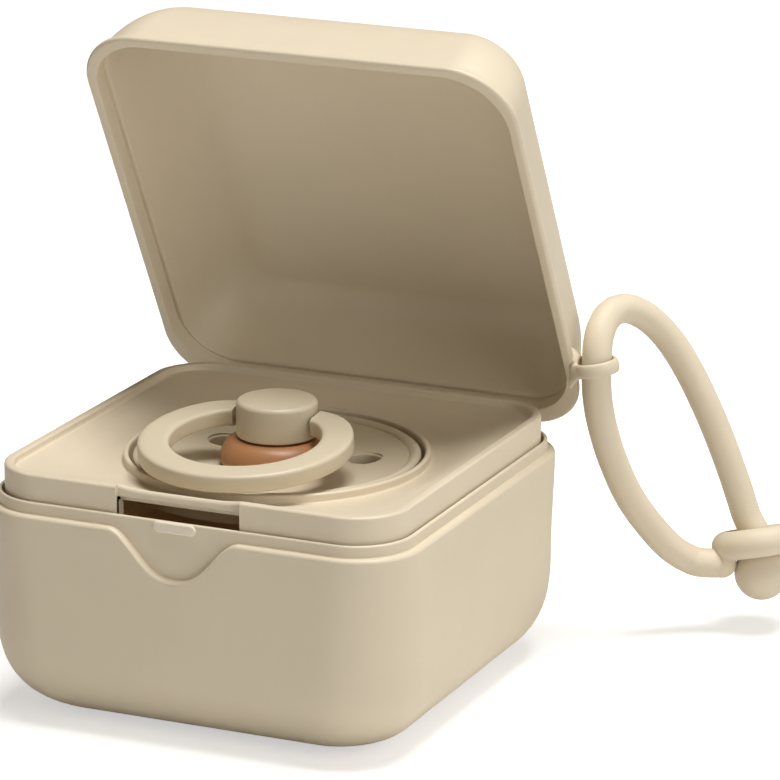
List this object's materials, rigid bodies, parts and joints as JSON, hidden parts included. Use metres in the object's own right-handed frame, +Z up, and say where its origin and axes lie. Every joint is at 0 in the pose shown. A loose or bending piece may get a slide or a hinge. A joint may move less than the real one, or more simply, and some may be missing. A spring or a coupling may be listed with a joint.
{
  "type": "pacifier sterilizer case",
  "caption": "Rounded square case with a hinged lid, a lift-out tray holding a pacifier over a water tub, and a carrying loop on the lid.",
  "frame": {"origin": "centre of the flat underside of the tub, on the surface that the case stands on", "axes": "+Z up, -Y towards the thumb scallop at the front, +Y towards the hinge, +X towards the side with the carrying loop"},
  "size_m": [0.1015, 0.0936, 0.0995],
  "materials": {
    "shell": "fine satin, sand beige",
    "tray": "fine satin, sand beige",
    "toy": "smooth satin, greyer beige",
    "latex": "smooth amber latex",
    "silicone": "soft matte silicone",
    "pin": "plain"
  },
  "bodies": {
    "tub": {"base_tub": "shell", "tray_insert": "tray", "hinge_pin": "pin"},
    "lid": {"lid_shell": "shell", "strap_tube": "silicone", "strap_eyelet": "silicone", "strap_ball": "silicone"},
    "pacifier": {"pacifier_shield": "toy", "pacifier_nipple": "latex", "pacifier_knob": "toy"},
    "ring": {"pacifier_ring": "toy"}
  },
  "joints": [
    {"name": "lid_hinge", "type": "hinge", "parent": "tub", "child": "lid", "pos_m": [0, 0.0374, 0.0324], "axis": [-1, 0, 0], "range_deg": [-61.6, 43.4]},
    {"name": "pacifier_turn", "type": "hinge", "parent": "tub", "child": "pacifier", "pos_m": [0, 0, 0.0333], "axis": [0, 0, 1], "continuous": true},
    {"name": "ring_swing", "type": "hinge", "parent": "pacifier", "child": "ring", "pos_m": [0, 0, 0.0415], "axis": [-1, 0, 0], "range_deg": [0, 12]}
  ]
}
